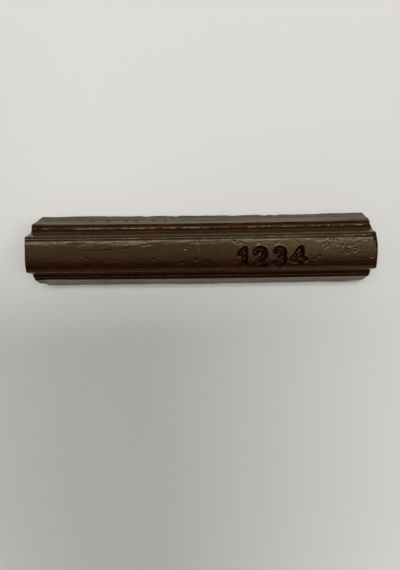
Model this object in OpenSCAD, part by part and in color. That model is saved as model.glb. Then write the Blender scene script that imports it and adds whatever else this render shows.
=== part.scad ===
// Hard wax stick for filling scratches and dents in furniture.
// It is one casting: poured into an open mould whose floor shapes the raised band,
// drafted so that it drops out, and left flat where the wax cooled in the open.
// X runs along the stick, Y across it, and Z up from the flat back to the crown.
// The origin is the middle of the flat back.

/* [Stick] */
// Length of the stick from end to end
stick_length = 80; // [40:1:160]
// Width across the flat back, to where its flanks would meet it unrounded
back_width = 17.7; // [15:0.1:24]
// Height from the flat back to the top of the crown
stick_height = 11.8; // [9:0.1:16]
// Radius along the rim of the flat back
rim_radius = 0.35; // [0.1:0.05:0.8]
// Radius that eases the crown's edge at each end
end_radius = 0.4; // [0.1:0.05:1]

/* [Band] */
// Width of the raised band between its outer edges
band_width = 7.9; // [5:0.1:9]
// Rise of the crown over the edges of the band
crown_rise = 0.5; // [0.3:0.05:0.9]
// Radius along the outer edges of the band
band_edge_radius = 0.25; // [0.1:0.05:0.35]
// Distance from the outer edge of the band to the middle of its fine groove
groove_inset = 0.6; // [0.5:0.05:1.2]
// Radius of the tool that left the fine groove
groove_radius = 0.2; // [0.15:0.05:0.3]
// Depth of the fine groove
groove_depth = 0.1; // [0.05:0.01:0.14]

/* [Shoulder] */
// Drop from the edge of the band to the foot of its wall
wall_drop = 3.1; // [2:0.1:4]
// Draft of the wall, in degrees from upright
wall_draft = 15; // [5:1:20]
// Radius in the corner at the foot of the wall
foot_radius = 1; // [0.4:0.1:1.4]
// Width of the sloping ledge that runs beside the wall
ledge_width = 1.6; // [1.3:0.1:2.2]
// Fall of the ledge from the wall to its outer corner
ledge_fall = 1.05; // [0.5:0.05:1.6]
// Radius along the outer corner of the ledge
ledge_corner_radius = 0.3; // [0.1:0.05:0.5]
// Width of the fine ridge that runs along the ledge
ridge_width = 0.3; // [0.2:0.02:0.4]
// Height of that ridge over the ledge
ridge_rise = 0.08; // [0.04:0.01:0.12]

/* [Hidden] */
$fn = 96;

// Place of the ridge on the ledge, from the foot of the wall to the outer corner
ridge_place_share = 0.58;

// Corners of the section, right of its middle, as [across, up]
half_band = band_width / 2;
wall_lean = tan(wall_draft);
band_edge = [half_band, stick_height - crown_rise];
wall_top = [half_band - crown_rise * wall_lean, stick_height];
foot = [half_band + wall_drop * wall_lean, band_edge[1] - wall_drop];
ledge_corner = foot + [ledge_width, -ledge_fall];
rim = [back_width / 2, 0];
middle_of_back = [0, 0];

// The crown is the arc through both edges of the band and the top of the stick
crown_radius = (half_band * half_band + crown_rise * crown_rise) / (2 * crown_rise);
crown_centre = [0, stick_height - crown_radius];

function unit(v) = v / norm(v);

// Direction that points up at an angle from upright, towards the right-hand side
function leaning(angle) = [sin(angle), cos(angle)];

// Points given for the right-hand side, followed by their mirror images
function both_sides(points) = concat(
    points,
    [for (i = [len(points) - 1 : -1 : 0]) [-points[i][0], points[i][1]]]
);

module on_both_sides() {
    children();
    mirror([1, 0]) children();
}

// Where an arc touches the two sides of a corner, and where its centre lies
function bisector(before, corner, after) = unit(unit(before - corner) + unit(after - corner));
function half_angle(before, corner, after) =
    acos(unit(before - corner) * bisector(before, corner, after));
function arc_centre(before, corner, after, radius) =
    corner + bisector(before, corner, after) * radius / sin(half_angle(before, corner, after));
function arc_end(before, corner, after, radius) =
    corner + unit(after - corner) * radius / tan(half_angle(before, corner, after));

// Waste outside a rounded corner, running on past the corner by the radius
module corner_waste(before, corner, after, radius) {
    difference() {
        polygon([
            corner - radius * bisector(before, corner, after),
            arc_end(after, corner, before, radius),
            arc_centre(before, corner, after, radius),
            arc_end(before, corner, after, radius)
        ]);
        translate(arc_centre(before, corner, after, radius)) circle(r = radius);
    }
}

// Waste above the crown
module crown_waste() {
    difference() {
        polygon(both_sides([foot + [0, wall_drop], foot + [0, wall_drop + 2 * crown_rise]]));
        translate(crown_centre) circle(r = crown_radius);
    }
}

// Centre of the arc that touches the wall from inside and the crown from below
function band_edge_centre() =
    let (
        down_wall = unit(foot - band_edge),
        start = band_edge - band_edge_radius * leaning(90 - wall_draft) - crown_centre,
        along = start * down_wall,
        room = crown_radius - band_edge_radius,
        slide = -along + sqrt(along * along - start * start + room * room)
    )
    crown_centre + start + slide * down_wall;

// Waste outside the rounded edge of the band, between the wall and the crown
module band_edge_waste() {
    centre = band_edge_centre();
    to_wall = 2 * band_edge_radius * leaning(90 - wall_draft);
    to_crown = 2 * band_edge_radius * unit(centre - crown_centre);
    difference() {
        polygon([centre, centre + to_wall, centre + to_wall + to_crown, centre + to_crown]);
        translate(centre) circle(r = band_edge_radius);
    }
}

// Fine groove along the band, as deep as its tool bit into the crown
module edge_groove() {
    groove_angle = asin((half_band - groove_inset) / crown_radius);
    tool_distance = crown_radius + groove_radius - groove_depth;
    translate(crown_centre + tool_distance * leaning(groove_angle)) circle(r = groove_radius);
}

// Fine ridge along the ledge, left by a line scribed in the mould
function ridge_points() =
    let (
        along = unit(ledge_corner - foot),
        outwards = [-along[1], along[0]],
        middle = foot + ridge_place_share * (ledge_corner - foot)
    )
    [
        middle + ridge_width / 2 * along,
        middle + ridge_rise * outwards,
        middle - ridge_width / 2 * along
    ];

// Section across the stick. Its outline cuts across the inside corner at the foot of
// each wall, and the foot's circle then hollows that cut into an arc.
module section() {
    on_wall = arc_end(ledge_corner, foot, band_edge, foot_radius);
    on_ledge = arc_end(band_edge, foot, ledge_corner, foot_radius);
    difference() {
        polygon(both_sides(concat([rim, ledge_corner], ridge_points(), [on_ledge, on_wall, wall_top])));
        crown_waste();
        on_both_sides() {
            corner_waste(middle_of_back, rim, ledge_corner, rim_radius);
            corner_waste(rim, ledge_corner, foot, ledge_corner_radius);
            translate(arc_centre(band_edge, foot, ledge_corner, foot_radius))
                circle(r = foot_radius);
            band_edge_waste();
            edge_groove();
        }
    }
}

// Outline seen from the side, with the crown's edge eased at both ends
module side_outline() {
    half_length = stick_length / 2;
    low = [half_length, 0];
    high = [half_length, stick_height];
    middle = [0, stick_height];
    difference() {
        polygon(both_sides([low, high]));
        on_both_sides() corner_waste(low, high, middle, end_radius);
    }
}

module wax_stick() {
    color("#3b2a1c")
    intersection() {
        rotate([90, 0, 90]) linear_extrude(height = stick_length, center = true) section();
        rotate([90, 0, 0]) linear_extrude(height = back_width, center = true) side_outline();
    }
}

wax_stick();
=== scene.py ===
# %% [markdown]
# A hard wax stick for furniture
#
# The object is one small casting of hard, dark brown wax. A carpenter shaves wax from it
# and rubs it into a scratch. It was poured into an open mould, so its crown and its steps
# were shaped by the mould, and its flat back is where the wax cooled in the open.
# This lesson sweeps its section with Geometry Nodes, then works the surface as the mould,
# the pour and handling did: a stamped number, fine lines, pits, ripples and worn ends.
#
# Sizes are in millimetres and become metres where they meet Blender. X runs along the
# stick, Y across it and Z up. Upper, lower, left and right are meant as in a picture taken
# from above, so upper is towards +Y and right is towards +X.

import math

import bpy
import numpy as np
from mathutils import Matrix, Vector


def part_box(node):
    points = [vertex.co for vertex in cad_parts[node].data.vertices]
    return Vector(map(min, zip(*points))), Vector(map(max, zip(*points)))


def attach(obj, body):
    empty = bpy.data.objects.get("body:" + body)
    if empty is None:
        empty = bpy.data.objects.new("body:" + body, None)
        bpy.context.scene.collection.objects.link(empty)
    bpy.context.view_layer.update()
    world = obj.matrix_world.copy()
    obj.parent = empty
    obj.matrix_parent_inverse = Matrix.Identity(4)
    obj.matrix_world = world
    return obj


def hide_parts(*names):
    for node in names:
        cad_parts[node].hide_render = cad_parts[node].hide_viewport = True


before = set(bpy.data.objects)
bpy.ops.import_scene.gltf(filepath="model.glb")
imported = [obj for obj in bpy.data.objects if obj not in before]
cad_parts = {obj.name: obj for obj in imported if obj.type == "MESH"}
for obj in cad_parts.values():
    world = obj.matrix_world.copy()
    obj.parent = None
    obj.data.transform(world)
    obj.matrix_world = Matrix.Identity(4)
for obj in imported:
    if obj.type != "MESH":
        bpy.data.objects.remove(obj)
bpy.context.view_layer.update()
MM = 0.001
NODE = "wax_stick"
low_corner, high_corner = (np.array(corner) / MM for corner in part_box(NODE))
print("box of the casting in mm", low_corner.round(2), high_corner.round(2))

# %% [markdown]
# The section across the stick
#
# Every long line of the stick comes from one section: a low crown between two fine grooves,
# a short wall, a sloping ledge, and a flank that spreads to the flat back. The section could
# be traced point by point, but it is clearer as arcs and straight runs between a few named
# corners, because then each size can be changed by itself.

# %% Sizes of the section
half_length = high_corner[0]
stick_height = high_corner[2]
half_back = 8.75              # where the flank would meet the back, unrounded
crown_clearance = 0.05        # the crown stays this far under the top of the box
half_band = 3.95
crown_rise = 0.5
band_edge_radius = 0.18
wall_drop = 3.1
wall_draft_degrees = 15
foot_radius = 0.3
ledge_width = 1.6
ledge_fall = 1.05
ledge_corner_radius = 0.32
rim_radius = 0.38

# %% Corners of its right half, as [across, up]
wall_lean = math.tan(math.radians(wall_draft_degrees))
crown_top = stick_height - crown_clearance
crown_radius = (half_band ** 2 + crown_rise ** 2) / (2 * crown_rise)
band_edge = np.array([half_band, crown_top - crown_rise])
foot = band_edge + [wall_drop * wall_lean, -wall_drop]
ledge_corner = foot + [ledge_width, -ledge_fall]
rim = np.array([half_back, 0.0])
middle_of_back = np.array([0.0, 0.0])
print("crown radius", round(crown_radius, 2), "foot", foot.round(2), "ledge corner", ledge_corner.round(2))

# %% [markdown]
# From corners to points
#
# The right half of the section runs from the middle of the crown to the middle of the back,
# and the left half mirrors it. Each corner is eased by an arc that touches both of its
# neighbours. Points lie close where fine lines and the number will be worked into the
# surface, and wide apart on the plain flank and back.

# %% Straight runs, rounded corners and the crown
def unit(vector):
    return vector / np.linalg.norm(vector)


def straight(start, end, spacing):
    """Points from start up to, but without, end."""
    count = max(1, round(float(np.linalg.norm(end - start)) / spacing))
    return [start + (end - start) * step / count for step in range(count)]


def rounded_corner(before, corner, after, radius, steps):
    """Points of the arc that eases a corner, from its first to its last touching point."""
    into, out = unit(before - corner), unit(after - corner)
    half_angle = math.acos(float(into @ out)) / 2
    reach = radius / math.tan(half_angle)
    centre = corner + unit(into + out) * radius / math.sin(half_angle)
    first, last = corner + into * reach - centre, corner + out * reach - centre
    turn = math.atan2(first[0] * last[1] - first[1] * last[0], float(first @ last))
    points = []
    for step in range(steps + 1):
        angle = turn * step / steps
        cosine, sine = math.cos(angle), math.sin(angle)
        points.append(centre + [first[0] * cosine - first[1] * sine, first[0] * sine + first[1] * cosine])
    return points


def crown_height(across):
    return crown_top - crown_radius + math.sqrt(crown_radius ** 2 - across ** 2)


def crown_points(start, end, spacing):
    count = round((end - start) / spacing)
    places = [start + (end - start) * step / count for step in range(count)]
    return [np.array([place, crown_height(place)]) for place in places]


# %% Right half of the section
crown_spacing = 0.1
line_spacing = 0.05
ledge_spacing = 0.095
flank_spacing = 0.42
back_spacing = 1.1
fine_lines_start = 2.8        # from here outwards the crown carries its fine lines
arc_steps = 5
rim_steps = 6

crown_end = np.array([half_band, crown_height(half_band)])
crown_before = np.array([fine_lines_start, crown_height(fine_lines_start)])
edge_arc = rounded_corner(crown_before, crown_end, foot, band_edge_radius, arc_steps)
foot_arc = rounded_corner(band_edge, foot, ledge_corner, foot_radius, arc_steps)
corner_arc = rounded_corner(foot, ledge_corner, rim, ledge_corner_radius, arc_steps)
rim_arc = rounded_corner(ledge_corner, rim, middle_of_back, rim_radius, rim_steps)

half_section = crown_points(0.0, fine_lines_start, crown_spacing)
half_section += crown_points(fine_lines_start, edge_arc[0][0], line_spacing)
half_section += edge_arc[:-1] + straight(edge_arc[-1], foot_arc[0], flank_spacing)
half_section += foot_arc[:-1] + straight(foot_arc[-1], corner_arc[0], ledge_spacing)
half_section += corner_arc[:-1] + straight(corner_arc[-1], rim_arc[0], flank_spacing)
half_section += rim_arc[:-1] + straight(rim_arc[-1], middle_of_back, back_spacing)
half_section = np.array(half_section)
print(len(half_section), "points on the right half of the section")

# %% The whole loop, and the distance round it from the middle of the crown
mirrored = half_section[1:][::-1] * [-1, 1]
section = np.vstack([half_section, middle_of_back, mirrored])

steps = np.linalg.norm(np.diff(half_section, axis=0), axis=1)
half_run = np.concatenate([[0.0], np.cumsum(steps)])
back_run = half_run[-1] + np.linalg.norm(half_section[-1] - middle_of_back)
section_run = np.concatenate([half_run, [back_run], -half_run[1:][::-1]])


def run_at(point):
    """Distance round the section from the middle of the crown to a point on its right half."""
    return float(half_run[np.argmin(np.linalg.norm(half_section - point, axis=1))])


edge_run = run_at(band_edge)
foot_run = run_at(foot)
corner_run = run_at(ledge_corner)
rim_run = run_at(rim)
print(len(section), "points round the section; runs to edge, foot, corner, rim:",
      [round(run, 2) for run in (edge_run, foot_run, corner_run, rim_run)])

# %% [markdown]
# Stations along the stick
#
# A sweep sets the section down again at each station along the stick. The stations lie close
# together where the number will be stamped, at pits and at the rounded ends, so the mesh
# spends its faces where the eye looks.

# %% Rows of stations: start, end and spacing
end_radius = 0.32
end_spacing, plain_spacing, pit_spacing = 0.06, 0.4, 0.16
approach_spacing, number_spacing, pocked_spacing = 0.34, 0.12, 0.165
number_start, number_end = 7.6, 24.8
station_rows = [
    (-half_length, -half_length + end_radius, end_spacing),
    (-half_length + end_radius, -26.2, plain_spacing),
    (-26.2, -24.6, pit_spacing),
    (-24.6, -11.2, plain_spacing),
    (-11.2, -9.8, pit_spacing),
    (-9.8, -5.0, plain_spacing),
    (-5.0, 0.6, pit_spacing),
    (0.6, number_start, approach_spacing),
    (number_start, number_end, number_spacing),
    (number_end, half_length - end_radius, pocked_spacing),
    (half_length - end_radius, half_length, end_spacing),
]
print(sum(round((end - start) / spacing) for start, end, spacing in station_rows) + 1, "stations")

# %% [markdown]
# The tree that casts the bar
#
# The sweep is a rule, so Geometry Nodes make it. The tree lays each row of stations as a
# line of points, joins the rows into one path, and sweeps the section along it. Close to an
# end the section shrinks along a quarter circle, which eases the end's edge. Each point
# keeps its number along and across the sweep, so that later steps find it again.

# %% A small helper for node trees
def add_node(tree, kind, settings=None, inputs=None, links=None):
    """Adds a node with its settings, its input values and its incoming links."""
    node = tree.nodes.new(kind)
    for name, value in (settings or {}).items():
        setattr(node, name, value)
    for name, value in (inputs or {}).items():
        node.inputs[name].default_value = value
    for name, socket in (links or {}).items():
        tree.links.new(socket, node.inputs[name])
    return node


# %% The tree and its named inputs
tree = bpy.data.node_groups.new("cast_bar", "GeometryNodeTree")
tree.interface.new_socket("Geometry", in_out="OUTPUT", socket_type="NodeSocketGeometry")
input_kinds = {
    "Section": "NodeSocketObject",
    "Wax": "NodeSocketMaterial",
    "Half Length": "NodeSocketFloat",
    "End Radius": "NodeSocketFloat",
    "Mean Reach": "NodeSocketFloat",
}
input_identifiers = {}
for name, kind in input_kinds.items():
    socket = tree.interface.new_socket(name, in_out="INPUT", socket_type=kind)
    input_identifiers[name] = socket.identifier
given = add_node(tree, "NodeGroupInput")
print("inputs of the tree:", list(input_identifiers))

# %% The path: rows of stations, joined where they meet
path_height = 4.0             # the path runs inside the wax, this far over the back
merge_distance = 0.001
rows = add_node(tree, "GeometryNodeJoinGeometry")
for start, end, spacing in station_rows[::-1]:
    row = add_node(tree, "GeometryNodeMeshLine", {"mode": "END_POINTS"}, {
        "Count": round((end - start) / spacing) + 1,
        "Start Location": (start * MM, 0.0, path_height * MM),
        "Offset": (end * MM, 0.0, path_height * MM),
    })
    tree.links.new(row.outputs["Mesh"], rows.inputs["Geometry"])
chain = add_node(tree, "GeometryNodeMergeByDistance", inputs={"Distance": merge_distance * MM},
                 links={"Geometry": rows.outputs["Geometry"]})
path = add_node(tree, "GeometryNodeMeshToCurve", links={"Mesh": chain.outputs["Geometry"]})
print(len(station_rows), "rows joined into the path")

# %% Size of the section close to an end
# Each step of this arithmetic is a name, what is done, and one or two terms. A term is the
# name of an earlier result, or a plain number.
shrink_steps = [
    ("distance", "ABSOLUTE", "place along"),
    ("straight part", "SUBTRACT", "half length", "end radius"),
    ("past the straight part", "SUBTRACT", "distance", "straight part"),
    ("into the arc", "MAXIMUM", "past the straight part", 0.0),
    ("arc squared", "POWER", "into the arc", 2.0),
    ("radius squared", "POWER", "end radius", 2.0),
    ("height squared", "SUBTRACT", "radius squared", "arc squared"),
    ("left over", "MAXIMUM", "height squared", 0.0),
    ("arc height", "SQRT", "left over"),
    ("inset", "SUBTRACT", "end radius", "arc height"),
    ("inset share", "DIVIDE", "inset", "mean reach"),
    ("section size", "SUBTRACT", 1.0, "inset share"),
]
station_place = add_node(tree, "GeometryNodeInputPosition")
axes = add_node(tree, "ShaderNodeSeparateXYZ", links={"Vector": station_place.outputs["Position"]})
results = {
    "place along": axes.outputs["X"],
    "half length": given.outputs["Half Length"],
    "end radius": given.outputs["End Radius"],
    "mean reach": given.outputs["Mean Reach"],
}
for name, operation, *terms in shrink_steps:
    numbers = {slot: term for slot, term in enumerate(terms) if isinstance(term, float)}
    sockets = {slot: results[term] for slot, term in enumerate(terms) if isinstance(term, str)}
    node = add_node(tree, "ShaderNodeMath", {"operation": operation}, numbers, sockets)
    results[name] = node.outputs["Value"]
print(len(shrink_steps), "steps of arithmetic for the eased ends")

# %% Sweep the section along the path
shape = add_node(tree, "GeometryNodeObjectInfo", links={"Object": given.outputs["Section"]})
point_number = add_node(tree, "GeometryNodeInputIndex")
whole_number = {"data_type": "INT", "domain": "POINT"}
marked = add_node(tree, "GeometryNodeStoreNamedAttribute", whole_number, {"Name": "across"}, {
    "Geometry": shape.outputs["Geometry"], "Value": point_number.outputs["Index"]})
numbered = add_node(tree, "GeometryNodeStoreNamedAttribute", whole_number, {"Name": "along"}, {
    "Geometry": path.outputs["Curve"], "Value": point_number.outputs["Index"]})
sweep = add_node(tree, "GeometryNodeCurveToMesh", links={
    "Curve": numbered.outputs["Geometry"],
    "Profile Curve": marked.outputs["Geometry"],
    "Scale": results["section size"],
})
real = add_node(tree, "GeometryNodeRealizeInstances", links={"Geometry": sweep.outputs["Mesh"]})
painted = add_node(tree, "GeometryNodeSetMaterial", links={
    "Geometry": real.outputs["Geometry"], "Material": given.outputs["Wax"]})
add_node(tree, "NodeGroupOutput", links={"Geometry": painted.outputs["Geometry"]})
print(len(tree.nodes), "nodes in the tree")

# %% [markdown]
# The hard wax itself
#
# Furniture wax of this kind is a blend of carnauba and other hard waxes with earth pigment,
# melted and cast. Cast wax has a satin skin: soft wide highlights, a warm tint straight on
# and a grey sheen at a low angle. The pigment never spreads quite evenly, so the brown
# drifts a little. The skin carries a grain from the mould and long drag marks. On the real
# stick both are finer than a picture of this size can show, so they are drawn a few tenths
# of a millimetre across. Bump is enough for them, because they never reach the outline.
#
# Three values that later cells store at each point of the mesh steer the material: dull
# raises the roughness, a second paints the pressed number darker as painted shade, and a
# third marks the pale crumbs of the ridges, whose paleness is also a painted highlight.

# %% Colours
def linear(hex_colour):
    """sRGB hex to the linear colour that the shader needs."""
    channels = [int(hex_colour[i:i + 2], 16) / 255 for i in (1, 3, 5)]
    return tuple(c / 12.92 if c <= 0.04045 else ((c + 0.055) / 1.055) ** 2.4 for c in channels) + (1.0,)


MIX_A, MIX_B, MIX_RESULT = 6, 7, 2      # the colour sockets of a Mix node


# %% A pattern laid out in millimetres
def object_noise(tree, size_mm, detail, stretch=(1.0, 1.0, 1.0)):
    """Noise on Object coordinates whose lumps are about size_mm across."""
    place = add_node(tree, "ShaderNodeTexCoord")
    mapped = add_node(tree, "ShaderNodeMapping", inputs={"Scale": stretch}, links={
        "Vector": place.outputs["Object"]})
    lumps = add_node(tree, "ShaderNodeTexNoise", inputs={"Scale": 1 / (size_mm * MM), "Detail": detail},
                     links={"Vector": mapped.outputs["Vector"]})
    return lumps.outputs["Fac"]


# %% Brown of the wax
def wax_brown(tree):
    """A drifting brown with painted shade in the number, and pale crumbs that also paint the ridges'
    highlight.
    """
    drift = object_noise(tree, 1.4, 6.0, (0.5, 1.0, 1.0))
    browns = add_node(tree, "ShaderNodeValToRGB", links={"Fac": drift})
    for stop, place, colour in zip(browns.color_ramp.elements, (0.35, 0.65), ("#210a03", "#2c1105")):
        stop.position = place
        stop.color = linear(colour)
    # The number is painted darker than the rest of the wax: painted shade in its strokes.
    number_painted_shade = add_node(tree, "ShaderNodeAttribute", {"attribute_name": "number_painted_shade"})
    pressed = add_node(tree, "ShaderNodeMix", {"data_type": "RGBA"}, {MIX_B: linear("#1c0803")}, {
        "Factor": number_painted_shade.outputs["Fac"], MIX_A: browns.outputs["Color"]})
    # Pale crumbs on the ridges; their paleness also paints the ridges' highlight.
    ridge_crumbs_and_glints = add_node(tree, "ShaderNodeAttribute", {"attribute_name": "ridge_crumbs_and_glints"})
    crumb_glint_specks = add_node(tree, "ShaderNodeMapRange", inputs={"From Min": 0.53, "From Max": 0.6}, links={
        "Value": object_noise(tree, 0.3, 1.0)})
    crumb_and_glint_share = add_node(tree, "ShaderNodeMath", {"operation": "MULTIPLY"}, links={
        0: crumb_glint_specks.outputs["Result"], 1: ridge_crumbs_and_glints.outputs["Fac"]})
    crumb_and_glint_paint = add_node(tree, "ShaderNodeMix", {"data_type": "RGBA"}, {MIX_B: linear("#584831")}, {
        "Factor": crumb_and_glint_share.outputs["Value"], MIX_A: pressed.outputs[MIX_RESULT]})
    return crumb_and_glint_paint.outputs[MIX_RESULT]


# %% Satin sheen of the wax
def wax_roughness(tree):
    """Satin in drifting patches, plus what rubbing and the flanks' streaks made dull."""
    satin = add_node(tree, "ShaderNodeMapRange", inputs={
        "From Min": 0.3, "From Max": 0.7, "To Min": 0.1, "To Max": 0.21}, links={
        "Value": object_noise(tree, 0.7, 5.0, (0.4, 1.0, 1.0))})
    dull = add_node(tree, "ShaderNodeAttribute", {"attribute_name": "dull"})
    roughness = add_node(tree, "ShaderNodeMath", {"operation": "ADD"}, links={
        0: dull.outputs["Fac"], 1: satin.outputs["Result"]})
    return roughness.outputs["Value"]


# %% Grain and drag marks of the skin
def wax_skin(tree):
    """Normals that are tilted by the grain, then by drag marks that run along the stick."""
    bump_strength = 0.7
    grain_height, drag_height = 0.028, 0.036
    grain = add_node(tree, "ShaderNodeBump", inputs={
        "Strength": bump_strength, "Distance": grain_height * MM}, links={
        "Height": object_noise(tree, 0.3, 3.0, (0.7, 1.0, 1.0))})
    drags = add_node(tree, "ShaderNodeBump", inputs={
        "Strength": bump_strength, "Distance": drag_height * MM}, links={
        "Height": object_noise(tree, 0.4, 4.0, (0.2, 1.0, 1.0)), "Normal": grain.outputs["Normal"]})
    return drags.outputs["Normal"]


# %% Cast hard wax
def cast_hard_wax():
    """Hard wax as cast: the refraction of carnauba wax, and a sheen that leans to amber."""
    material = bpy.data.materials.new("hard_wax_cast")
    material.use_nodes = True
    nodes = material.node_tree
    shader = nodes.nodes["Principled BSDF"]
    shader.inputs["IOR"].default_value = 1.44
    shader.inputs["Specular Tint"].default_value = linear("#fffad0")
    nodes.links.new(wax_brown(nodes), shader.inputs["Base Color"])
    nodes.links.new(wax_roughness(nodes), shader.inputs["Roughness"])
    nodes.links.new(wax_skin(nodes), shader.inputs["Normal"])
    return material


wax = cast_hard_wax()
print("wax material made with", len(wax.node_tree.nodes), "nodes")

# %% [markdown]
# Casting the bar
#
# The tree runs on an empty mesh, because all its geometry comes from its inputs. Its result
# becomes a plain mesh at once, so that later steps can work each point. The section could
# also be swept by a loop in Python, but the tree keeps the sizes of the sweep in one place.

# %% A closed curve that carries the section
def closed_curve(name, points):
    """A curve object whose closed spline runs through the section's points."""
    curve = bpy.data.curves.new(name, "CURVE")
    curve.dimensions = "3D"
    spline = curve.splines.new("POLY")
    spline.points.add(len(points) - 1)
    for place, (across, up) in zip(spline.points, points):
        place.co = (-across * MM, (path_height - up) * MM, 0.0, 1.0)
    spline.use_cyclic_u = True
    made = bpy.data.objects.new(name, curve)
    bpy.context.scene.collection.objects.link(made)
    return made


# %% Run the sweep
mean_reach = 7.5              # usual distance from the path to the surface
section_curve = closed_curve("section_curve", section)
carrier = bpy.data.objects.new("carrier", bpy.data.meshes.new("carrier"))
bpy.context.scene.collection.objects.link(carrier)
modifier = carrier.modifiers.new("cast_bar", "NODES")
modifier.node_group = tree
input_values = {
    "Section": section_curve,
    "Wax": wax,
    "Half Length": half_length * MM,
    "End Radius": end_radius * MM,
    "Mean Reach": mean_reach * MM,
}
for name, value in input_values.items():
    modifier[input_identifiers[name]] = value
evaluated = carrier.evaluated_get(bpy.context.evaluated_depsgraph_get())
bar_mesh = bpy.data.meshes.new_from_object(evaluated)
for helper in (carrier, section_curve):
    bpy.data.objects.remove(helper)
print("swept", len(bar_mesh.vertices), "points and", len(bar_mesh.polygons), "faces")

# %% Sort its points into a grid, one row for each station
point_count = len(bar_mesh.vertices)
coordinates = np.zeros(point_count * 3)
bar_mesh.vertices.foreach_get("co", coordinates)
coordinates = coordinates.reshape(-1, 3) / MM
along = np.zeros(point_count, int)
across = np.zeros(point_count, int)
bar_mesh.attributes["along"].data.foreach_get("value", along)
bar_mesh.attributes["across"].data.foreach_get("value", across)
ring_count, ring_points = along.max() + 1, across.max() + 1
starts_at_the_right = coordinates[along == 0][0][0] > 0
if starts_at_the_right:
    along = along.max() - along
bar = np.zeros((ring_count, ring_points, 3))
bar[along, across] = coordinates
print("rings", ring_count, "points in a ring", ring_points)
print("swept box", bar.min((0, 1)).round(3), bar.max((0, 1)).round(3))

# %% [markdown]
# Working the surface
#
# From here on, each mark is a small height field over the unrolled surface: x runs along
# the stick and run goes round the section from the middle of the crown, both in
# millimetres, and run is positive on the upper side. A height field is easy to picture as
# what a mould maker's tool would leave, and many of them simply add up.

# %% Unrolled coordinates and outward normals of the section
x = bar[:, :, 0]
run = np.broadcast_to(section_run, x.shape)
side = np.sign(run)           # 1 on the upper side, -1 on the lower side
away = np.abs(run)
neighbours = np.roll(section, -1, axis=0) - np.roll(section, 1, axis=0)
section_normal = np.stack([-neighbours[:, 1], neighbours[:, 0]], axis=1)
section_normal /= np.linalg.norm(section_normal, axis=1)[:, None]
print("normal at the middle of the crown", section_normal[0].round(3))


# %% Soft steps, humps and noise
def smooth_step(value):
    """0 below 0, 1 above 1, and an easy curve between."""
    limited = np.clip(value, 0.0, 1.0)
    return limited * limited * (3 - 2 * limited)


def hump(value, width):
    """1 in the middle, falling away on both sides within about width."""
    return np.exp(-(value / width) ** 2)


def soft_noise(u, v, spacing_u, spacing_v, seed):
    """Smooth random heights from -1 to 1 on a grid with the given spacing."""
    size = 256
    heights = np.random.default_rng(seed).uniform(-1, 1, (size, size))
    grid_u, grid_v = u / spacing_u + size / 2, v / spacing_v + size / 2
    i, j = np.floor(grid_u).astype(int), np.floor(grid_v).astype(int)
    share_u, share_v = smooth_step(grid_u - i), smooth_step(grid_v - j)
    this_i, next_i, this_j, next_j = i % size, (i + 1) % size, j % size, (j + 1) % size
    near = heights[this_i, this_j] * (1 - share_u) + heights[next_i, this_j] * share_u
    far = heights[this_i, next_j] * (1 - share_u) + heights[next_i, next_j] * share_u
    return near * (1 - share_v) + far * share_v


def along_noise(spacing, seed):
    """Noise that changes only along the stick, and differs between its two sides."""
    side_gap, side_spacing = 9.0, 3.0
    return soft_noise(x, side * side_gap, spacing, side_spacing, seed)


def show_range(label, values):
    """Prints the lowest and the highest of some values, so that a mark can be judged."""
    print(label, round(float(values.min()), 3), "to", round(float(values.max()), 3))


# %% Zones of the surface, each 1 inside and fading to 0 at its borders
on_crown = smooth_step((edge_run - 0.1 - away) / 0.2)
on_ledge = smooth_step((away - foot_run - 0.2) / 0.2) * smooth_step((corner_run - 0.1 - away) / 0.2)
on_flank = smooth_step((away - corner_run - 0.3) / 0.5) * smooth_step((rim_run - away) / 0.4)
on_back = smooth_step((away - rim_run - 0.4) / 0.8)
height = np.zeros_like(x)
for name, zone in (("crown", on_crown), ("ledge", on_ledge), ("flank", on_flank), ("back", on_back)):
    print(name, "holds", round(float((zone > 0.5).mean()) * 100), "% of the points")

# %% [markdown]
# Fine lines along the stick
#
# Beside each edge of the crown run a fine groove and, closer to the edge, a narrow slot,
# with a low bead between them, and one fine ridge runs along each ledge. They could be
# painted as bump, but they catch the light from every side, so they are real heights. On
# the real stick they are not perfect. The groove is worn where fingers hold the bar. The
# ridge broke into pale crumbs where the wax stuck to the mould, so its height follows a
# noise, and a mask tells the material where the crumbs lie. Their pale colour is also a
# painted highlight that makes the ridge read as a bright, broken line.

# %% Groove, bead and slot beside each edge of the crown
upper_groove_inset, lower_groove_inset = 0.88, 0.62
groove_depth, groove_width = 0.12, 0.115
bead_offset, bead_height, bead_width = 0.33, 0.02, 0.13
slot_inset, slot_depth, slot_width = 0.24, 0.14, 0.085
lower_share = 0.4             # how deep the lower lines are, next to the upper ones
grip_middle, grip_reach, grip_wear = 8.0, 12.0, 0.6

groove_run = edge_run - np.where(side > 0, upper_groove_inset, lower_groove_inset)
line_share = np.where(side > 0, 1.0, lower_share)
left_by_grip = 1 - grip_wear * hump(x - grip_middle, grip_reach) * (side > 0)
groove_bite = line_share * left_by_grip * (1 + 0.3 * along_noise(4.0, 11))
height -= groove_depth * groove_bite * hump(away - groove_run, groove_width)
height -= slot_depth * hump(away - edge_run + slot_inset, slot_width) * line_share
bead = bead_height * hump(away - groove_run - bead_offset, bead_width) * line_share
height += bead * (1 + 0.4 * along_noise(1.5, 12))
show_range("grooves, beads and slots in mm:", height)

# %% Ridge along each ledge, and its crumbs
ridge_share = 0.49            # place on the ledge, from its foot to its corner
ridge_height, ridge_width = 0.08, 0.095
lower_ridge_share = 1.5       # how high the lower ridge is, next to the upper one
crumb_and_glint_width = 0.12

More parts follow.
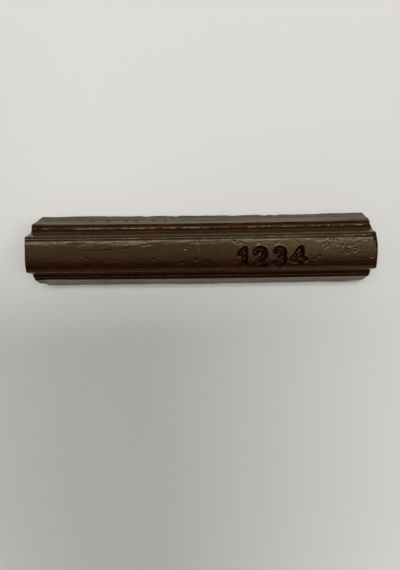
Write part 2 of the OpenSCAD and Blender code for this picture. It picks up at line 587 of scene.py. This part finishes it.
ridge_run = foot_run + ridge_share * (corner_run - foot_run)
# Where pale crumbs are painted on the ridges; they also paint the ridges' highlight.
crumb_and_glint_stretch = smooth_step((x + 38.0) / 18.0) * (1 - 0.65 * smooth_step((x - 12.0) / 8.0))
crumb_and_glint_patches = 0.75 + 0.5 * along_noise(2.5, 16)
ridge_crumbs_and_glints = hump(away - ridge_run, crumb_and_glint_width) * crumb_and_glint_stretch * crumb_and_glint_patches
ridge_sway = 0.04 * along_noise(3.0, 13)
ridge_form = 0.85 + 0.45 * along_noise(0.55, 14) + 0.2 * along_noise(5.0, 15)
ridge_form *= 1 - 0.3 * smooth_step((-28.0 - x) / 6.0)
ridge_side = np.where(side > 0, 1.0, lower_ridge_share)
height += ridge_height * ridge_side * ridge_form * hump(away - ridge_run - ridge_sway, ridge_width)
show_range("fine lines with the ridges in mm:", height)

# %% [markdown]
# The number
#
# Sticks like this carry a stamped number for their colour. Here it is the plain row 1 2 3 4.
# A font would give a printer's sharp letters, but such figures are punched into the wax by
# hand tools, so each figure is a few strokes with a torn floor, and the depth at a point
# depends only on its distance to the nearest stroke.

# %% Distance to a line and to an arc
def line_distance(u, v, start, end):
    (u0, v0), (u1, v1) = start, end
    length_squared = (u1 - u0) ** 2 + (v1 - v0) ** 2
    t = np.clip(((u - u0) * (u1 - u0) + (v - v0) * (v1 - v0)) / length_squared, 0, 1)
    return np.hypot(u - u0 - t * (u1 - u0), v - v0 - t * (v1 - v0))


def arc_distance(u, v, centre, radius, start_angle, end_angle):
    """Distance to an arc that runs clockwise from start_angle down to end_angle, in degrees."""
    middle, half = (start_angle + end_angle) / 2, (start_angle - end_angle) / 2
    angle = np.degrees(np.arctan2(v - centre[1], u - centre[0])) - middle
    angle = (angle + 180) % 360 - 180
    nearest = np.radians(np.clip(angle, -half, half) + middle)
    return np.hypot(u - centre[0] - radius * np.cos(nearest), v - centre[1] - radius * np.sin(nearest))


# %% Strokes of the figures, as lines and arcs round each figure's middle
top, bottom = 1.75, -1.75
figures = {
    "1": [("line", (0.25, bottom), (0.25, top)), ("line", (0.25, top), (-0.75, 0.85))],
    "2": [("arc", (0.0, 0.68), 1.07, 165, -35), ("line", (0.88, 0.07), (-1.15, bottom)),
          ("line", (-1.15, bottom), (1.25, bottom))],
    "3": [("arc", (-0.05, 0.84), 0.91, 150, -70), ("arc", (-0.05, -0.75), 1.0, 70, -150)],
    "4": [("line", (0.5, top), (-1.3, -0.6)), ("line", (-1.3, -0.6), (1.3, -0.6)),
          ("line", (0.5, top), (0.5, bottom))],
}
figure_places = {"1": 9.9, "2": 13.6, "3": 18.0, "4": 22.2}
figure_middle = -1.1
distance_kinds = {"line": line_distance, "arc": arc_distance}

stroke_wander = 0.05
to_strokes = [distance_kinds[kind](x - figure_places[name], run - figure_middle, *shape)
              for name in figures for kind, *shape in figures[name]]
to_number = np.minimum.reduce(to_strokes) + stroke_wander * soft_noise(x, run, 0.5, 0.5, 21)
print(len(figures), "figures made of", len(to_strokes), "strokes")

# %% Press the number into the crown
stroke_half_width = 0.77
number_depth = 1.1
floor_power = 0.95            # 1 would give a stroke the section of a plain V
torn_height, lip_height, lip_width = 0.16, 0.08, 0.11

pressed = 1 - np.clip(to_number / stroke_half_width, 0.0, 1.0) ** floor_power
lip = hump(to_number - stroke_half_width - 0.05, lip_width) * (0.5 + 0.5 * soft_noise(x, run, 0.5, 0.5, 22))
torn = torn_height * pressed * soft_noise(x, run, 0.42, 0.36, 23)
number_height = on_crown * (-number_depth * pressed + torn + lip_height * lip)
# Mask of the strokes, with which the material paints the number darker: painted shade.
number_painted_shade = on_crown * smooth_step((stroke_half_width - to_number) / 0.2)
height += number_height
show_range("number in mm:", number_height)

# %% [markdown]
# Marks of the pour
#
# A hair-thin line crosses the middle, where the mould was jointed. Where one front of warm
# wax ran over another a fold stayed: a shallow groove with a low step behind it. Bubbles
# that burst against the mould left pits, some with a ring round them. Scattering them at
# random would be quicker, but the eye remembers the few large ones, so each has its own
# place, radius and depth.

# %% The joint of the mould, as places along x and run
joint_depth, joint_width = 0.09, 0.14
mould_joint = [(-0.4, 3.3), (-0.1, 2.3), (0.05, 0.5), (-0.15, -1.3), (-0.7, -3.6), (-0.85, -4.6)]
joint_parts = zip(mould_joint, mould_joint[1:])
to_joint = np.minimum.reduce([line_distance(x, run, start, end) for start, end in joint_parts])
height -= joint_depth * hump(to_joint, joint_width)
print("the joint lies within", round(max(abs(place) for place, _ in mould_joint), 2), "mm of the middle")

# %% The fold where one front of wax ran over another, as places along x and run
fold = [(-26.7, 0.75), (-21.7, 0.85), (-18.3, 1.05), (-15.5, 1.4), (-13.0, 1.75), (-10.8, 2.1)]
fold_depth, fold_width = 0.03, 0.12
step_height, step_width, step_tail = 0.032, 0.2, 1.5
past_fold = run - np.interp(x, *zip(*fold))
fold_fade = smooth_step((x + 27.5) / 2.0) * smooth_step((-9.5 - x) / 2.0)
step_tail_off = hump(np.maximum(past_fold, 0.0), step_tail)
height -= fold_depth * fold_fade * hump(past_fold + 0.05, fold_width)
height += step_height * fold_fade * smooth_step(past_fold / step_width + 0.5) * step_tail_off
print("the fold is", round(fold[-1][0] - fold[0][0], 1), "mm long")

# %% Pits and ringed pits: place along x and run, radius, depth
pits = [
    (-25.4, -0.85, 0.22, 0.1), (-4.5, 1.15, 0.16, 0.07), (-3.2, 0.95, 0.24, 0.1), (-4.0, -2.1, 0.25, 0.1),
    (-0.8, -1.45, 0.25, 0.08), (-10.4, -1.25, 0.25, 0.08), (7.9, 2.4, 0.22, 0.12), (8.5, 1.9, 0.16, 0.08),
    (9.2, 2.15, 0.22, 0.12), (10.1, 1.75, 0.2, 0.1), (8.0, -0.9, 0.16, 0.08), (8.2, -2.0, 0.2, 0.08),
    (17.2, 1.9, 0.16, 0.12), (17.7, 2.15, 0.14, 0.1), (21.9, 2.2, 0.16, 0.12), (22.4, 1.8, 0.16, 0.12),
    (13.1, 2.1, 0.18, 0.08), (26.8, -1.0, 0.25, 0.08), (27.6, 1.5, 0.22, 0.12), (28.1, 0.6, 0.2, 0.1),
    (31.9, 1.2, 0.25, 0.08), (33.2, 1.0, 0.22, 0.1), (24.9, -0.9, 0.18, 0.08), (25.8, -1.7, 0.18, 0.07),
]
ringed_pits = [
    (28.6, 1.3, 0.42, 0.1), (32.9, -0.1, 0.45, 0.1), (34.7, 0.25, 0.36, 0.1), (38.5, -1.05, 0.42, 0.1),
]
ring_width = 0.14
island_share, island_width = 0.4, 0.2
for place_x, place_run, radius, depth in pits:
    height -= depth * hump(np.hypot(x - place_x, run - place_run), radius)
uneven = 0.7 + 0.6 * soft_noise(x, run, 0.35, 0.35, 31)
for place_x, place_run, radius, depth in ringed_pits:
    from_middle = np.hypot(x - place_x, run - place_run)
    height -= depth * uneven * hump(from_middle - radius, ring_width)
    height += island_share * depth * hump(from_middle, island_width)
print(len(pits), "pits and", len(ringed_pits), "ringed pits")

# %% [markdown]
# Waves, streaks and ripples
#
# No cast surface is dead flat. Slow waves on the crown make the highlight wander, the crown
# falls away a little more at its upper left, and it is finely pocked near its right end.
# The flanks have long shallow streaks from the mould's tool marks, and the upper one was
# rubbed dull in a few spots. The open back sank and rippled as it cooled. One noise for
# all of them would look like orange peel, so each zone has its own, stretched in the way
# that the mould or the cooling worked there.

# %% Waves and pocks on the crown, waves on the ledges
slow_height, calm_share = 0.009, 0.25          # the slow wave is calmer at the left end
slow_wave = slow_height * (calm_share + (1 - calm_share) * smooth_step((x + 34.0) / 8.0))
height += on_crown * slow_wave * soft_noise(x, run, 7.0, 1.6, 41)
fall_at_left = 0.035
height -= on_crown * fall_at_left * smooth_step((-29.0 - x) / 6.0) * smooth_step((run - 1.7) / 1.6)
for wave_height, spacing_x, spacing_run, seed in ((0.009, 1.9, 0.8, 42), (0.003, 0.8, 0.4, 50)):
    height += on_crown * wave_height * soft_noise(x, run, spacing_x, spacing_run, seed)
rough_right = smooth_step((x - 22.0) / 4.0)
height += on_crown * 0.012 * rough_right * smooth_step(run + 0.2) * soft_noise(x, run, 0.5, 0.3, 49)
height += on_ledge * 0.012 * soft_noise(x, run, 3.0, 0.5, 43)

pock_depth, pock_threshold = 0.13, 0.45
pocked = smooth_step((x - 25.5) / 2.0) * smooth_step((run + 0.8) / 0.8)
pocks = np.clip(soft_noise(x, run, 0.42, 0.32, 62) - pock_threshold, 0.0, 1.0)
height -= on_crown * pock_depth * pocked * pocks
show_range("depth of the pocks in mm:", pock_depth * pocked * pocks)

# %% Streaks on the flanks
streak_height, hollow_height, long_wave_height, swell_height = 0.08, 0.03, 0.12, 0.08
streak_sway = 0.5 * along_noise(16.0, 44)
streak_strength = 0.6 + 0.4 * smooth_step((x + 10) / 45)
streaks = soft_noise(x, run + streak_sway, 22.0, 1.05, 45)
long_wave = smooth_step((x + 15.0) / 25.0)
upper_swell = smooth_step(x / 16.0)
height += on_flank * streak_strength * streak_height * streaks
height += on_flank * hollow_height * soft_noise(x, run, 3.0, 1.1, 46)
height += on_flank * long_wave_height * long_wave * soft_noise(x, run + streak_sway, 40.0, 1.9, 53)
height += (side > 0) * swell_height * upper_swell * hump(away - corner_run - 1.9, 1.1)
show_range("streaks in mm:", streak_strength * streak_height * streaks)

# %% Where the flanks are dull
upper_dullness, lower_dullness = 0.17, 0.12
drag = (side < 0) * 0.06 * soft_noise(x - 1.6 * run, run, 3.5, 1.2, 54)
from_corner = smooth_step((away - corner_run + 0.25) / 0.4)
dull = np.where(side > 0, upper_dullness, lower_dullness) * from_corner * (1 + 0.8 * streaks)
dull += drag * on_flank

# Rubbed spots on the upper flank: place along x, radius
rubbed_spots = [(-26.3, 0.35), (-22.4, 0.4), (-18.0, 0.35), (-15.7, 0.35), (-11.4, 0.35), (-8.5, 0.3)]
spot_dullness, spot_offset, spot_stretch = 0.8, 3.4, 1.4
for place_x, radius in rubbed_spots:
    from_spot = np.hypot(x - place_x, (run - corner_run - spot_offset) / spot_stretch)
    dull += spot_dullness * hump(from_spot, radius)
show_range("added roughness:", dull)

# %% The back, which sank and rippled
sink_depth, sink_margin = 0.14, 8.0
back_across = np.broadcast_to(section[:, 0], x.shape)
from_ends = smooth_step((half_length - np.abs(x)) / sink_margin)
sink = sink_depth * (1 - (back_across / half_back) ** 2) * from_ends
ripples = 0.05 * soft_noise(x, back_across, 5.0, 3.0, 47) + 0.02 * soft_noise(x, back_across, 1.3, 1.1, 48)
height -= on_back * np.maximum(sink + ripples, 0.0)
show_range("fall of the back in mm:", on_back * np.maximum(sink + ripples, 0.0))

# %% [markdown]
# Move the points, then bend and wear the whole casting
#
# The height fields act along the section's normals. After them come the faults of the whole
# body: its rim is uneven where the wax met the air, the stick bows by a tenth or two of a
# millimetre, its ends are not quite square, and the crown's edge is worn at the right end.
# They move whole stretches of the body, so they act on the points and not on the heights.

# %% Apply the heights
shift = height[:, :, None] * section_normal[None, :, :]
worked = bar.copy()
worked[:, :, 1] += shift[:, :, 0]
worked[:, :, 2] += shift[:, :, 1]
y, z = worked[:, :, 1], worked[:, :, 2]
show_range("all heights in mm:", height)

# %% Uneven rim
# A pull is positive inwards. The upper rim is slightly waisted beside the number and
# fuller towards the left. The lower one is fuller towards the left too, and falls in at
# the right end. Small waves and dips lie on top.
towards_rim = smooth_step((away - corner_run - 1.0) / (rim_run - corner_run - 1.0))
rim_wave = 0.05 + 0.05 * along_noise(5.0, 51) + 0.03 * along_noise(1.4, 52)
upper_pull = 0.04 * hump(x - 8.0, 22.0) - 0.13 * smooth_step(-x / 30)
lower_pull = 0.05 - 0.08 * smooth_step((18 - x) / 25) - 0.09 * smooth_step((-12 - x) / 16)
lower_pull += 0.2 * smooth_step((x - 36.0) / 3.0)
rim_wave += np.where(side > 0, upper_pull, lower_pull)

# Dips in the upper rim: place along x, width, depth
rim_dips = [
    (-36.5, 2.0, 0.09), (-23.0, 0.9, 0.12), (-13.6, 0.8, 0.14), (-8.2, 1.0, 0.15),
    (-6.4, 0.5, 0.2), (-1.7, 1.8, 0.08), (8.2, 1.1, 0.14), (15.6, 0.8, 0.18),
    (18.3, 0.7, 0.2), (23.2, 3.0, 0.1), (28.2, 1.4, 0.12),
]
for place_x, width, depth in rim_dips:
    rim_wave += depth * hump(x - place_x, width) * (side > 0)
y -= side * towards_rim * rim_wave
show_range("pull on the rim in mm:", rim_wave)

# %% Bow along the stick, lean of the crown, and fuller edges
bow, bow_offset = 0.17, 0.09
y += bow * (x / half_length) ** 2 - bow_offset

lean_left, lean_right, lean_all = -0.12, -0.05, 0.07      # at each end, and everywhere
lean_from, lean_blend = 6.5, 3.0                # it grows over this part of the height
lower_edge_out, lower_edge_flare = 0.1, 0.08
towards_top = smooth_step((z - lean_from) / lean_blend)
y += towards_top * (np.where(x < 0, -lean_left, lean_right) * x / half_length + lean_all)
y -= (side < 0) * towards_top * (lower_edge_out + lower_edge_flare * (x / half_length) ** 2)

corner_out, corner_reach = 0.26, 2.6
y += corner_out * smooth_step(1 - np.abs(away - corner_run) / corner_reach) * (side > 0)
upper_swell_out, lower_swell_out = 0.16, 0.42   # the flanks are fuller at the left end
swell = hump(away - corner_run - 2.2, 2.3) * smooth_step((-36.5 - x) / 3.5)
y += swell * np.where(side > 0, upper_swell_out, -lower_swell_out)
show_range("places across the stick in mm:", y)

# %% Ends that are not quite square: place across the stick, reach along it
left_reach = [
    (-8.7, 40.0), (-4.0, 40.0), (-1.6, 39.87), (1.1, 39.66), (4.2, 39.7), (5.5, 39.57),
    (6.5, 39.75), (8.7, 39.85),
]
right_reach = [
    (-8.7, 40.0), (-7.2, 39.95), (-6.3, 39.68), (-4.6, 39.68), (-4.2, 39.98), (-1.9, 39.99),
    (1.4, 39.93), (4.0, 39.65), (5.0, 39.55), (5.8, 39.3), (6.7, 39.3), (7.6, 39.8), (8.7, 40.0),
]
full_fault_height = 6.5       # an end is square at the back, and all its fault shows from here up
end_stretch_start = 30.0      # from here to the end, the stations follow the end


def end_reach(x, y, z):
    """How far the casting reaches along x, at either end."""
    left = np.interp(y, *zip(*left_reach))
    right = np.interp(y, *zip(*right_reach)) + 0.03 * soft_noise(y, z, 0.8, 0.8, 60)
    short_of_end = (half_length - np.where(x < 0, left, right)) * smooth_step(z / full_fault_height)
    return half_length - np.maximum(short_of_end, 0.0)


reach = end_reach(x, y, z)
near_end = smooth_step((np.abs(x) - end_stretch_start) / (half_length - end_stretch_start))
x_worked = x + np.sign(x) * (reach - half_length) * near_end
show_range("how far the ends fall short in mm:", half_length - reach)

# %% Worn edge of the crown at the right end, more so on its upper side
wear_length, upper_wear_length = 0.9, 0.5
wear_depth, upper_wear_depth = 0.42, 0.16
wear_start = half_length - wear_length - upper_wear_length * smooth_step((run - 0.5) / 2.5)
wear_start += 0.12 * soft_noise(x, run, 0.9, 0.9, 61)
wear = np.clip((x - wear_start) / (half_length - wear_start), 0.0, 1.0)
full_wear = wear_depth + upper_wear_depth * smooth_step(run / 2.5)
worn_away = full_wear * wear ** 2 * smooth_step(foot_run - away)
z -= worn_away
worked[:, :, 0] = x_worked
show_range("worn away in mm:", worn_away)

# %% [markdown]
# Close the ends
#
# The sweep is an open tube. Each end could be one large face with many corners, but such a
# face shades badly. So it is closed by rings of points that shrink towards the path, which
# can also carry the faint unevenness of a cast face.

# %% Rings of points and the faces between them
face_unevenness = 0.03


def end_rings(outer, outwards, seed, ring_total=7):
    """Rings of points that fill an end face, and the point in its middle."""
    middle = np.array([outwards * end_reach(outwards, 0.0, path_height), 0.0, path_height])
    made = []
    for ring in range(1, ring_total + 1):
        share = 1 - ring / (ring_total + 1)
        points = middle + (outer - middle) * share
        points[:, 0] = outwards * end_reach(outwards, points[:, 1], points[:, 2])
        dents = soft_noise(points[:, 1], points[:, 2], 1.8, 1.8, seed) - 1
        points[:, 0] += outwards * face_unevenness * dents
        made.append(points)
    return made, middle


def loop_faces(first, second, count, flip):
    """Quads between two rings that start at the given point numbers."""
    faces = []
    for i in range(count):
        j = (i + 1) % count
        quad = (first + i, first + j, second + j, second + i)
        faces.append(quad[::-1] if flip else quad)
    return faces


# %% Points and faces of the closed casting
points = [worked.reshape(-1, 3)]
faces = []
for ring in range(ring_count - 1):
    faces += loop_faces(ring * ring_points, (ring + 1) * ring_points, ring_points, False)
next_point = ring_count * ring_points
for outer_ring, outwards, flip in ((0, -1, True), (ring_count - 1, 1, False)):
    made, middle = end_rings(worked[outer_ring], outwards, 71 + outer_ring)
    previous = outer_ring * ring_points
    for ring in made:
        points.append(ring)
        faces += loop_faces(previous, next_point, ring_points, flip)
        previous = next_point
        next_point += ring_points
    points.append(middle[None, :])
    for i in range(ring_points):
        triangle = (previous + i, previous + (i + 1) % ring_points, next_point)
        faces.append(triangle[::-1] if flip else triangle)
    next_point += 1
points = np.clip(np.vstack(points), low_corner, high_corner)
print(len(points), "points and", len(faces), "faces")

# %% The piece
stick_mesh = bpy.data.meshes.new("wax_casting")
stick_mesh.from_pydata((points * MM).tolist(), [], faces)
stick_mesh.materials.append(wax)
stick_mesh.polygons.foreach_set("use_smooth", [True] * len(stick_mesh.polygons))
stick_mesh.update()
# Stored for the material: added roughness, the painted shade of the number, and the crumbs that also paint
# the ridges' highlight.
for name, values in (("dull", dull), ("number_painted_shade", number_painted_shade), ("ridge_crumbs_and_glints", ridge_crumbs_and_glints)):
    on_points = np.zeros(len(points))
    on_points[:values.size] = values.ravel()
    stick_mesh.attributes.new(name, "FLOAT", "POINT").data.foreach_set("value", on_points)
bpy.data.meshes.remove(bar_mesh)
stick = bpy.data.objects.new("wax_casting", stick_mesh)
bpy.context.scene.collection.objects.link(stick)


# %% Turn its faces outwards and hand it to the frame
def mesh_volume(mesh):
    """Volume of a closed mesh in cubic millimetres; it is positive when faces point outwards."""
    mesh.calc_loop_triangles()
    corners = np.zeros(len(mesh.loop_triangles) * 3, int)
    mesh.loop_triangles.foreach_get("vertices", corners)
    spots = np.array([v.co for v in mesh.vertices])[corners].reshape(-1, 3, 3) / MM
    return float(np.einsum("ij,ij->i", spots[:, 0], np.cross(spots[:, 1], spots[:, 2])).sum() / 6)


volume = mesh_volume(stick_mesh)
if volume < 0:
    stick_mesh.flip_normals()
print("triangles", len(stick_mesh.loop_triangles))
print("volume", round(abs(volume) / 1000, 2), "cubic centimetres")

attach(stick, "root")
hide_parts(NODE)

# %% [markdown]
# The table
#
# The stick lies on a plain, matt, off-white table. It is only a stage, so it stays simple:
# one flat face without any sheen of its own. In the sheen of the wax a pale surface would
# look cold, so rays that come from there meet a slightly warmer, darker paint.

# %% Paint and cards for the stage
def matt_paint(name, hex_colour, roughness):
    material = bpy.data.materials.new(name)
    material.use_nodes = True
    shader = material.node_tree.nodes["Principled BSDF"]
    shader.inputs["Base Color"].default_value = linear(hex_colour)
    shader.inputs["Roughness"].default_value = roughness
    return material


def flat_card(name, low, high, level, material):
    """A level rectangle between two corners, in millimetres."""
    corners = [(low[0], low[1]), (high[0], low[1]), (high[0], high[1]), (low[0], high[1])]
    mesh = bpy.data.meshes.new(name)
    mesh.from_pydata([(a * MM, b * MM, level * MM) for a, b in corners], [], [(0, 1, 2, 3)])
    mesh.materials.append(material)
    card = bpy.data.objects.new(name, mesh)
    bpy.context.scene.collection.objects.link(card)
    return card


# %% Table
table_colour, table_in_sheen = "#dcdcda", "#cdc6b6"
half_table = 2500
table_paint = matt_paint("matt_table", table_colour, 0.6)
nodes = table_paint.node_tree
shader = nodes.nodes["Principled BSDF"]
shader.inputs["Specular IOR Level"].default_value = 0.0
ray = add_node(nodes, "ShaderNodeLightPath")
seen_colour = add_node(nodes, "ShaderNodeMix", {"data_type": "RGBA"}, {
    MIX_A: linear(table_colour), MIX_B: linear(table_in_sheen)}, {"Factor": ray.outputs["Is Glossy Ray"]})
nodes.links.new(seen_colour.outputs[MIX_RESULT], shader.inputs["Base Color"])
table = flat_card("table", (-half_table, -half_table), (half_table, half_table), 0.0, table_paint)
print("table", 2 * half_table / 1000, "metres wide")

# %% [markdown]
# Light
#
# Dark wax is seen by its sheen more than by its colour, so two sets of lights share the
# work, as in a studio. A key lamp above the far side and a soft lamp on each side light the
# table and the wax without showing in the sheen, and a grey card over the near left shades
# the table there. Then come cards that show only in the sheen. A long panel gives the
# highlight along the upper edge of the crown. Two ceilings give its middle tones. A low,
# far window lights the upper ledge, and a black flag keeps the near steps deep.

# %% Lamps that light the table and the wax
def soft_lamp(name, place, width, depth, radiance):
    """A rectangular lamp, in metres, that points at the stick and doesn't show in its sheen."""
    lamp = bpy.data.lights.new(name, "AREA")
    lamp.shape = "RECTANGLE"
    lamp.size = width
    lamp.size_y = depth
    lamp.energy = radiance * math.pi * width * depth
    lamp.color = linear("#fffdf8")[:3]
    holder = bpy.data.objects.new(name, lamp)
    holder.location = place
    holder.rotation_euler = (-Vector(place)).to_track_quat("-Z", "Y").to_euler()
    bpy.context.scene.collection.objects.link(holder)
    holder.visible_glossy = False
    print(name, round(lamp.energy, 2), "watts")


soft_lamp("key_lamp", (-0.05, 0.70, 1.9), 1.8, 0.45, 10.1)
soft_lamp("right_lamp", (1.15, -0.1, 1.55), 0.9, 0.9, 3.2)
soft_lamp("left_lamp", (-1.15, -0.1, 1.55), 0.9, 0.9, 1.3)

# %% A card that shades the table at the near left
grey_paint = matt_paint("grey_card", "#8a8a8a", 0.9)
shade = flat_card("near_shade", (-66, -100), (14, 31), 106.0, grey_paint)
shade.visible_camera = False
shade.visible_glossy = False
print("shade", [round(side_length * 1000) for side_length in shade.dimensions], "mm")


# %% Glowing and upright cards
def glow_paint(name, axis, low, high, low_strength, high_strength, hex_colour="#fffaf0"):
    """A glow that changes along one axis between two places, in millimetres."""
    material = matt_paint(name, "#000000", 1.0)
    nodes = material.node_tree
    shader = nodes.nodes["Principled BSDF"]
    shader.inputs["Emission Color"].default_value = linear(hex_colour)
    place = add_node(nodes, "ShaderNodeTexCoord")
    parts = add_node(nodes, "ShaderNodeSeparateXYZ", links={"Vector": place.outputs["Object"]})
    glow = add_node(nodes, "ShaderNodeMapRange", inputs={
        "From Min": low * MM, "From Max": high * MM, "To Min": low_strength, "To Max": high_strength},
        links={"Value": parts.outputs[axis]})
    nodes.links.new(glow.outputs["Result"], shader.inputs["Emission Strength"])
    return material


def upright_card(name, y_place, low_level, high_level, material, half_width=1500):
    """A wide upright rectangle across the scene, in millimetres."""
    card = flat_card(name, (-half_width, y_place), (half_width, y_place + 1), 0.0, material)
    for corner, level in zip(card.data.vertices, (low_level, low_level, high_level, high_level)):
        corner.co = (corner.co.x, y_place * MM, level * MM)
    return card


# %% What the sheen of the wax shows
only_in_reflections = [
    flat_card("long_panel", (-1550, 708), (1150, 1187), 1900.0,
              glow_paint("panel_glow", "Y", 708, 1187, 10.0, 4.4)),
    flat_card("grey_ceiling", (-90, -25), (20, 31.5), 107.0,
              glow_paint("grey_glow", "Y", -25, 31.5, 0.64, 0.84, "#fff2cc")),
    flat_card("pale_ceiling", (20, -30), (200, 33), 107.0,
              glow_paint("pale_glow", "Y", -30, 33, 0.58, 2.1, "#fff4d8")),
    upright_card("far_window", 900, 90, 300,
                 glow_paint("far_glow", "Z", 90, 300, 2.15, 1.75, "#ffe4b8")),
    upright_card("black_flag", -110, 2, 420, matt_paint("black_cloth", "#050505", 1.0)),
]
for card in only_in_reflections:
    for kind in ("visible_camera", "visible_diffuse", "visible_shadow", "visible_transmission"):
        setattr(card, kind, False)
print("only in the sheen:", [card.name for card in only_in_reflections])

# %% The room: even for the table, dark near the horizon for the sheen
even_strength, seen_strength = 0.26, 0.8
horizon_strength, overhead_strength, steepness_power = 0.06, 1.2, 5.0
world = bpy.data.worlds.new("room")
world.use_nodes = True
bpy.context.scene.world = world
room = world.node_tree
direction = add_node(room, "ShaderNodeTexCoord")
parts = add_node(room, "ShaderNodeSeparateXYZ", links={"Vector": direction.outputs["Generated"]})
steepness = add_node(room, "ShaderNodeMath", {"operation": "POWER"}, {1: steepness_power}, {
    0: parts.outputs["Z"]})
in_sheen = add_node(room, "ShaderNodeMapRange", inputs={
    "From Min": 0.0, "From Max": 1.0, "To Min": horizon_strength, "To Max": overhead_strength}, links={
    "Value": steepness.outputs["Value"]})
ray = add_node(room, "ShaderNodeLightPath")
strength = add_node(room, "ShaderNodeMix", {"data_type": "FLOAT"}, {"A": even_strength}, {
    "Factor": ray.outputs["Is Glossy Ray"], "B": in_sheen.outputs["Result"]})
seen = add_node(room, "ShaderNodeMix", {"data_type": "FLOAT"}, {"B": seen_strength}, {
    "Factor": ray.outputs["Is Camera Ray"], "A": strength.outputs["Result"]})
room.links.new(seen.outputs["Result"], room.nodes["Background"].inputs["Strength"])
room.nodes["Background"].inputs["Color"].default_value = linear("#fffdf9")
print("the room lights the table with a strength of", even_strength)

# %% [markdown]
# Camera
#
# The photograph was taken by hand from close above, tilted a little, so the near flank and
# both steps show. The camera could be placed by eye, but it was fitted to the corners of
# the band, the ledges and the flanks, so that the sizes and the view agree. The lens is
# wide: the focal length in pixels divided by the height of the picture, times the 36 mm
# of the sensor, gives it in millimetres.

# %% Camera
picture_height = 570
focal_pixels = 400.6
optical_axis_pixels = 13.7      # the axis meets the picture this far right of its middle
camera_place = (4.92, 6.12, 101.6)
camera_tilt_degrees = (-8.5526, 1.0537, -0.8302)
camera_data = bpy.data.cameras.new("camera")
camera_data.sensor_width = 36.0
camera_data.lens = focal_pixels * camera_data.sensor_width / picture_height
camera_data.shift_x = -optical_axis_pixels / picture_height
camera_data.clip_start = 1 * MM
camera = bpy.data.objects.new("camera", camera_data)
camera.location = tuple(place * MM for place in camera_place)
camera.rotation_euler = tuple(math.radians(angle) for angle in camera_tilt_degrees)
bpy.context.scene.collection.objects.link(camera)
bpy.context.scene.camera = camera
bpy.context.scene.view_settings.view_transform = "Standard"
print("lens", round(camera_data.lens, 2), "mm")
